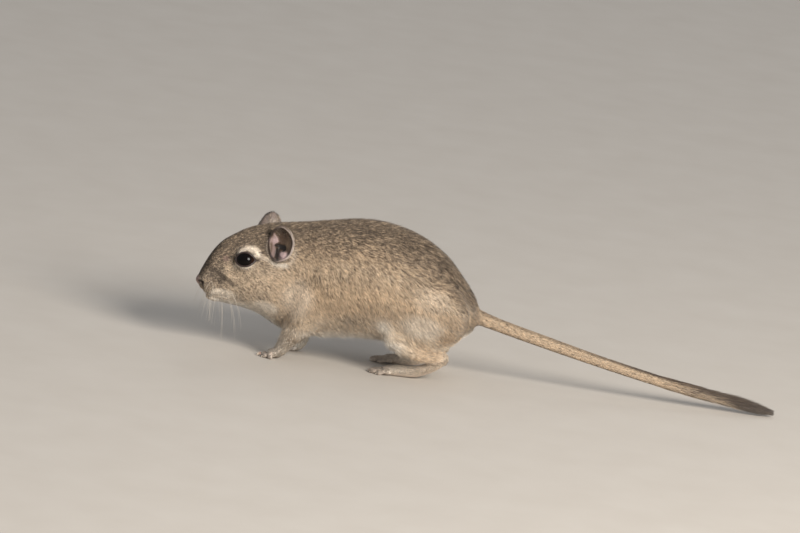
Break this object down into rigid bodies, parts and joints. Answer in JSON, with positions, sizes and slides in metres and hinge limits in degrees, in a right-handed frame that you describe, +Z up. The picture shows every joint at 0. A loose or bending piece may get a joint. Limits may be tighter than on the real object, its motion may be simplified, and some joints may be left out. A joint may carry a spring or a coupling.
{
  "type": "gerbil",
  "caption": "Life-size standing gerbil: sandy agouti coat, dark eye, cupped ears, long hind feet and a long tail with a dark brush.",
  "frame": {"origin": "middle of the model's box, on the floor it stands on", "axes": "+Z up, -Y towards the nose, +X to the animal's left"},
  "size_m": [0.0464, 0.2452, 0.0613],
  "materials": {
    "coat": "sandy brown fur with fine dark ticking, pale below",
    "tail_brush": "longer dark brown hair",
    "ear_skin": "thin skin with fine short hair",
    "foot_skin": "pale short hair over pink skin",
    "eye": "wet black gloss",
    "claw": "pale horn",
    "whisker": "pale fine hair"
  },
  "bodies": {
    "root": {"head": "coat", "neck": "coat", "torso": "coat", "rump": "coat", "thigh_left": "coat", "thigh_right": "coat", "shank_left": "coat", "shank_right": "coat", "foreleg_left": "coat", "foreleg_right": "coat", "forepaw_left": "foot_skin", "forepaw_right": "foot_skin", "hindfoot_left": "foot_skin", "hindfoot_right": "foot_skin", "ear_left": "ear_skin", "ear_right": "ear_skin", "eye_left": "eye", "eye_right": "eye", "tail_base": "coat", "tail_middle": "coat", "tail_end": "tail_brush"}
  },
  "joints": []
}
